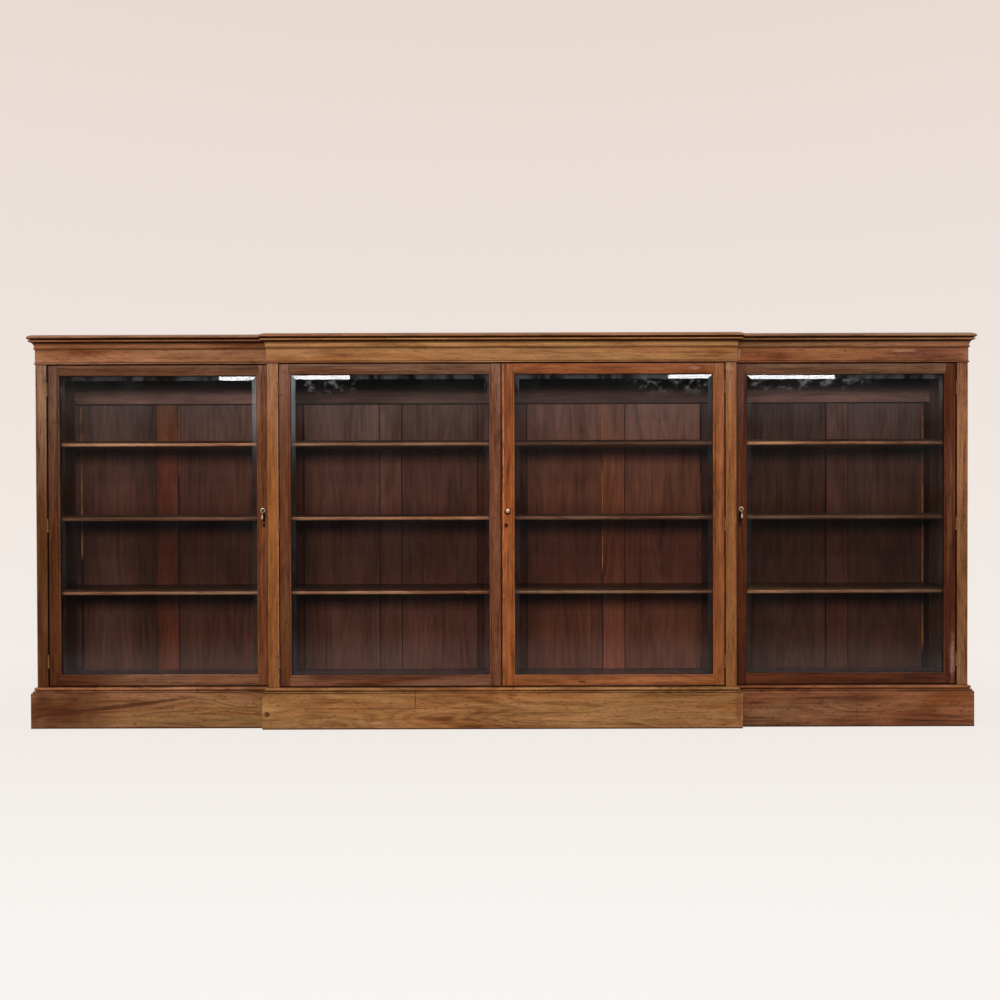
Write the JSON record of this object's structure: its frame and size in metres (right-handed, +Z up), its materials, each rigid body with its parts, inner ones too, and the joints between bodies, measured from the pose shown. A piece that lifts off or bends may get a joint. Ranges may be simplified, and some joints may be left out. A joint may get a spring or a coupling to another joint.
{
  "type": "breakfront bookcase",
  "caption": "Low breakfront bookcase in mahogany with bevelled glazed doors, moulded cornice and plinth, and shelved bays with panelled backs.",
  "frame": {"origin": "centre of the bounding box on the floor, under the middle of the bookcase", "axes": "+X to the viewer's right along the length, front faces -Y, +Z up"},
  "size_m": [3.496, 0.4, 1.4555],
  "materials": {
    "case": "polished mahogany, worn at the edges",
    "doors": "polished mahogany, a shade darker and redder than the case",
    "interior": "dull dark mahogany",
    "shelves": "polished mahogany with a moulded edge",
    "glass": "clear bevelled plate",
    "brass": "aged brass"
  },
  "bodies": {
    "case": {"plinth": "case", "side_left": "case", "side_right": "case", "stile_left": "case", "stile_right": "case", "frieze": "case", "cornice_moulding": "case", "top_board": "case", "partition_left": "interior", "partition_middle": "interior", "partition_right": "interior", "bottom_left": "interior", "bottom_centre": "interior", "bottom_right": "interior", "ceiling_left": "interior", "ceiling_centre": "interior", "ceiling_right": "interior", "back_left": "interior", "back_centre": "interior", "back_right": "interior", "shelf_left_wing_1": "shelves", "shelf_left_wing_2": "shelves", "shelf_left_wing_3": "shelves", "shelf_centre_left_1": "shelves", "shelf_centre_left_2": "shelves", "shelf_centre_left_3": "shelves", "shelf_centre_right_1": "shelves", "shelf_centre_right_2": "shelves", "shelf_centre_right_3": "shelves", "shelf_right_wing_1": "shelves", "shelf_right_wing_2": "shelves", "shelf_right_wing_3": "shelves", "hinge_left_wing_1": "brass", "hinge_left_wing_2": "brass", "hinge_left_wing_3": "brass", "hinge_centre_left_1": "brass", "hinge_centre_left_2": "brass", "hinge_centre_left_3": "brass", "hinge_centre_right_1": "brass", "hinge_centre_right_2": "brass", "hinge_centre_right_3": "brass", "hinge_right_wing_1": "brass", "hinge_right_wing_2": "brass", "hinge_right_wing_3": "brass"},
    "left_wing_door": {"door_left_wing": "doors", "glass_left_wing": "glass", "lock_left_wing": "brass", "rosette_left_wing": "brass"},
    "centre_left_door": {"door_centre_left": "doors", "glass_centre_left": "glass"},
    "centre_right_door": {"door_centre_right": "doors", "glass_centre_right": "glass", "lock_centre_right": "brass", "knob_centre_right": "brass"},
    "right_wing_door": {"door_right_wing": "doors", "glass_right_wing": "glass", "lock_right_wing": "brass", "rosette_right_wing": "brass"},
    "left_wing_drop": {"drop_left_wing": "brass"},
    "right_wing_drop": {"drop_right_wing": "brass"}
  },
  "joints": [
    {"name": "left_wing_door_swing", "type": "hinge", "parent": "case", "child": "left_wing_door", "pos_m": [-1.6806, -0.1486, 0.7495], "axis": [0, 0, -1], "range_deg": [0, 170]},
    {"name": "centre_left_door_swing", "type": "hinge", "parent": "case", "child": "centre_left_door", "pos_m": [-0.8201, -0.1796, 0.7495], "axis": [0, 0, -1], "range_deg": [0, 170]},
    {"name": "centre_right_door_swing", "type": "hinge", "parent": "case", "child": "centre_right_door", "pos_m": [0.8201, -0.1796, 0.7495], "axis": [0, 0, 1], "range_deg": [0, 170]},
    {"name": "right_wing_door_swing", "type": "hinge", "parent": "case", "child": "right_wing_door", "pos_m": [1.6806, -0.1486, 0.7495], "axis": [0, 0, 1], "range_deg": [0, 170]},
    {"name": "left_wing_drop_swing", "type": "hinge", "parent": "left_wing_door", "child": "left_wing_drop", "pos_m": [-0.8855, -0.157, 0.8045], "axis": [-1, 0, 0], "range_deg": [-10, 95]},
    {"name": "right_wing_drop_swing", "type": "hinge", "parent": "right_wing_door", "child": "right_wing_drop", "pos_m": [0.8855, -0.157, 0.8045], "axis": [-1, 0, 0], "range_deg": [-10, 95]}
  ]
}
